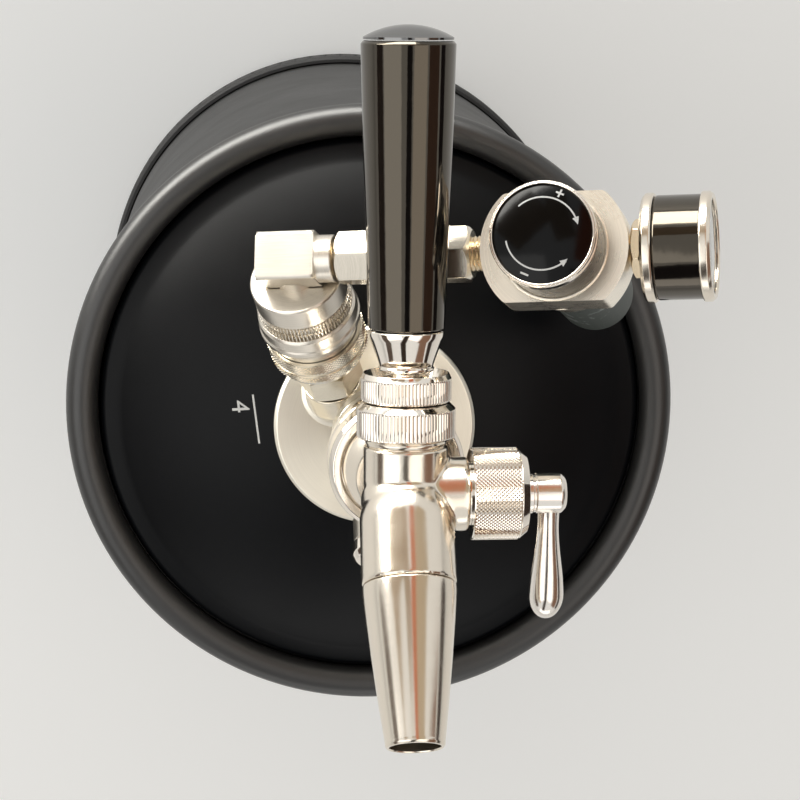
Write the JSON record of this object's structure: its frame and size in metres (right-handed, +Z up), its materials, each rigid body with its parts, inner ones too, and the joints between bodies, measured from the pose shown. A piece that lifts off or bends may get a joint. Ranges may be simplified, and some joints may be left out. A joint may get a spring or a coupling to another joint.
{
  "type": "mini keg beer dispenser",
  "caption": "Upright black mini keg with rolled rim and domed top, carrying a chrome tap with flow control and a leaning gas disconnect, cartridge regulator and pressure gauge.",
  "frame": {"origin": "centre of the keg's flat underside", "axes": "+Z up along the keg's axis; the tap's handle points along +Y, its spout leans towards -Y, and the gauge is on the +X side"},
  "size_m": [0.181, 0.209, 0.38],
  "materials": {
    "black_coat": "matte powder coat",
    "rubber": "matte",
    "steel": "satin",
    "blue_steel": "bright",
    "chrome": "polished",
    "satin_nickel": "satin nickel plated",
    "champagne": "fine machined",
    "gloss_black": "gloss",
    "cartridge_green": "matte coated steel",
    "dial_white": "printed card",
    "needle_red": "matte",
    "clear": "clear"
  },
  "bodies": {
    "keg": {"base_boot": "rubber", "outer_shell": "black_coat", "top_rim": "black_coat", "top_dome": "black_coat", "inner_vessel": "steel", "neck_ring": "steel", "head_cap": "steel", "head_gasket": "rubber", "spear_tube": "steel", "liquid_post": "steel", "gas_post": "satin_nickel", "gas_post_spring": "steel", "relief_body": "satin_nickel", "relief_spring": "steel", "hub_collar": "chrome", "hub_seal": "rubber", "tap_adapter": "blue_steel", "coupling_washer": "rubber", "faucet_body": "chrome", "faucet_spout": "chrome", "bonnet_nut": "chrome", "lever_seat": "rubber", "lock_collar": "chrome", "flow_collar": "chrome", "flow_oring": "rubber", "disconnect_body": "satin_nickel", "disconnect_cap": "satin_nickel", "gas_elbow": "satin_nickel", "flare_nut": "satin_nickel"},
    "shank_nut": {"coupling_nut": "chrome"},
    "handle": {"tap_lever": "chrome", "handle_ferrule": "chrome", "handle_grip": "gloss_black", "handle_cap": "chrome"},
    "shuttle": {"faucet_shuttle": "steel", "shuttle_seal": "rubber"},
    "flow_control": {"flow_stem": "chrome", "flow_lever": "chrome"},
    "release": {"release_collar": "satin_nickel"},
    "poppet": {"gas_poppet": "steel"},
    "relief": {"relief_stem": "satin_nickel"},
    "regulator": {"line_coupler": "satin_nickel", "regulator_body": "champagne", "regulator_piston": "steel", "regulator_spring": "steel", "piercing_pin": "steel", "cartridge": "cartridge_green", "gauge_stem": "satin_nickel", "gauge_flange": "chrome", "gauge_case": "gloss_black", "gauge_bezel": "chrome", "gauge_dial": "dial_white", "gauge_lens": "clear"},
    "knob": {"knob_grip": "gloss_black", "knob_ring": "chrome", "knob_face": "gloss_black"},
    "pointer": {"gauge_needle": "needle_red"}
  },
  "joints": [
    {"name": "tap_lever_hinge", "type": "hinge", "parent": "keg", "child": "handle", "pos_m": [0.00497, 0.023, 0.33695], "axis": [0.9995, -0.0122, -0.0303], "range_deg": [0, 22]},
    {"name": "shuttle_slide", "type": "slide", "parent": "keg", "child": "shuttle", "axis": [-0.0296, 0.0523, -0.9982], "range_m": [0, 0.0092]},
    {"name": "flow_lever_hinge", "type": "hinge", "parent": "keg", "child": "flow_control", "pos_m": [0.00468, -0.00347, 0.33807], "axis": [0.9995, -0.0122, -0.0303], "range_deg": [0, 100]},
    {"name": "coupling_nut_turn", "type": "hinge", "parent": "keg", "child": "shank_nut", "pos_m": [0.0026, 0.0002, 0.268], "axis": [0.0296, -0.0523, 0.9982], "continuous": true},
    {"name": "regulator_swivel", "type": "hinge", "parent": "keg", "child": "regulator", "pos_m": [-0.02446, 0.05436, 0.30692], "axis": [0.9621, 0.0609, 0.2658], "range_deg": [-30, 80]},
    {"name": "pressure_knob_turn", "type": "hinge", "parent": "regulator", "child": "knob", "pos_m": [0.04568, 0.0588, 0.3263], "axis": [-0.2713, 0.312, 0.9105], "range_deg": [-1080, 1080]},
    {"name": "gauge_pointer_hinge", "type": "hinge", "parent": "regulator", "child": "pointer", "pos_m": [0.04568, 0.0588, 0.3263], "axis": [-0.9621, -0.0609, -0.2658], "range_deg": [0, 270], "stiffness_Nm_per_rad": 0.00003},
    {"name": "release_collar_slide", "type": "slide", "parent": "keg", "child": "release", "axis": [-0.224, 0.7326, 0.6428], "range_m": [0, 0.0035], "stiffness_N_per_m": 400, "springref_m": -0.004},
    {"name": "gas_poppet_slide", "type": "slide", "parent": "keg", "child": "poppet", "axis": [0.224, -0.7326, -0.6428], "range_m": [0, 0.0012], "stiffness_N_per_m": 600, "springref_m": -0.003},
    {"name": "relief_stem_slide", "type": "slide", "parent": "keg", "child": "relief", "axis": [0, -0.7071, 0.7071], "range_m": [0, 0.004], "stiffness_N_per_m": 500, "springref_m": -0.003}
  ],
  "couplings": [
    {"joint": "shuttle_slide", "follows": "tap_lever_hinge", "m_per_rad": 0.0235}
  ]
}
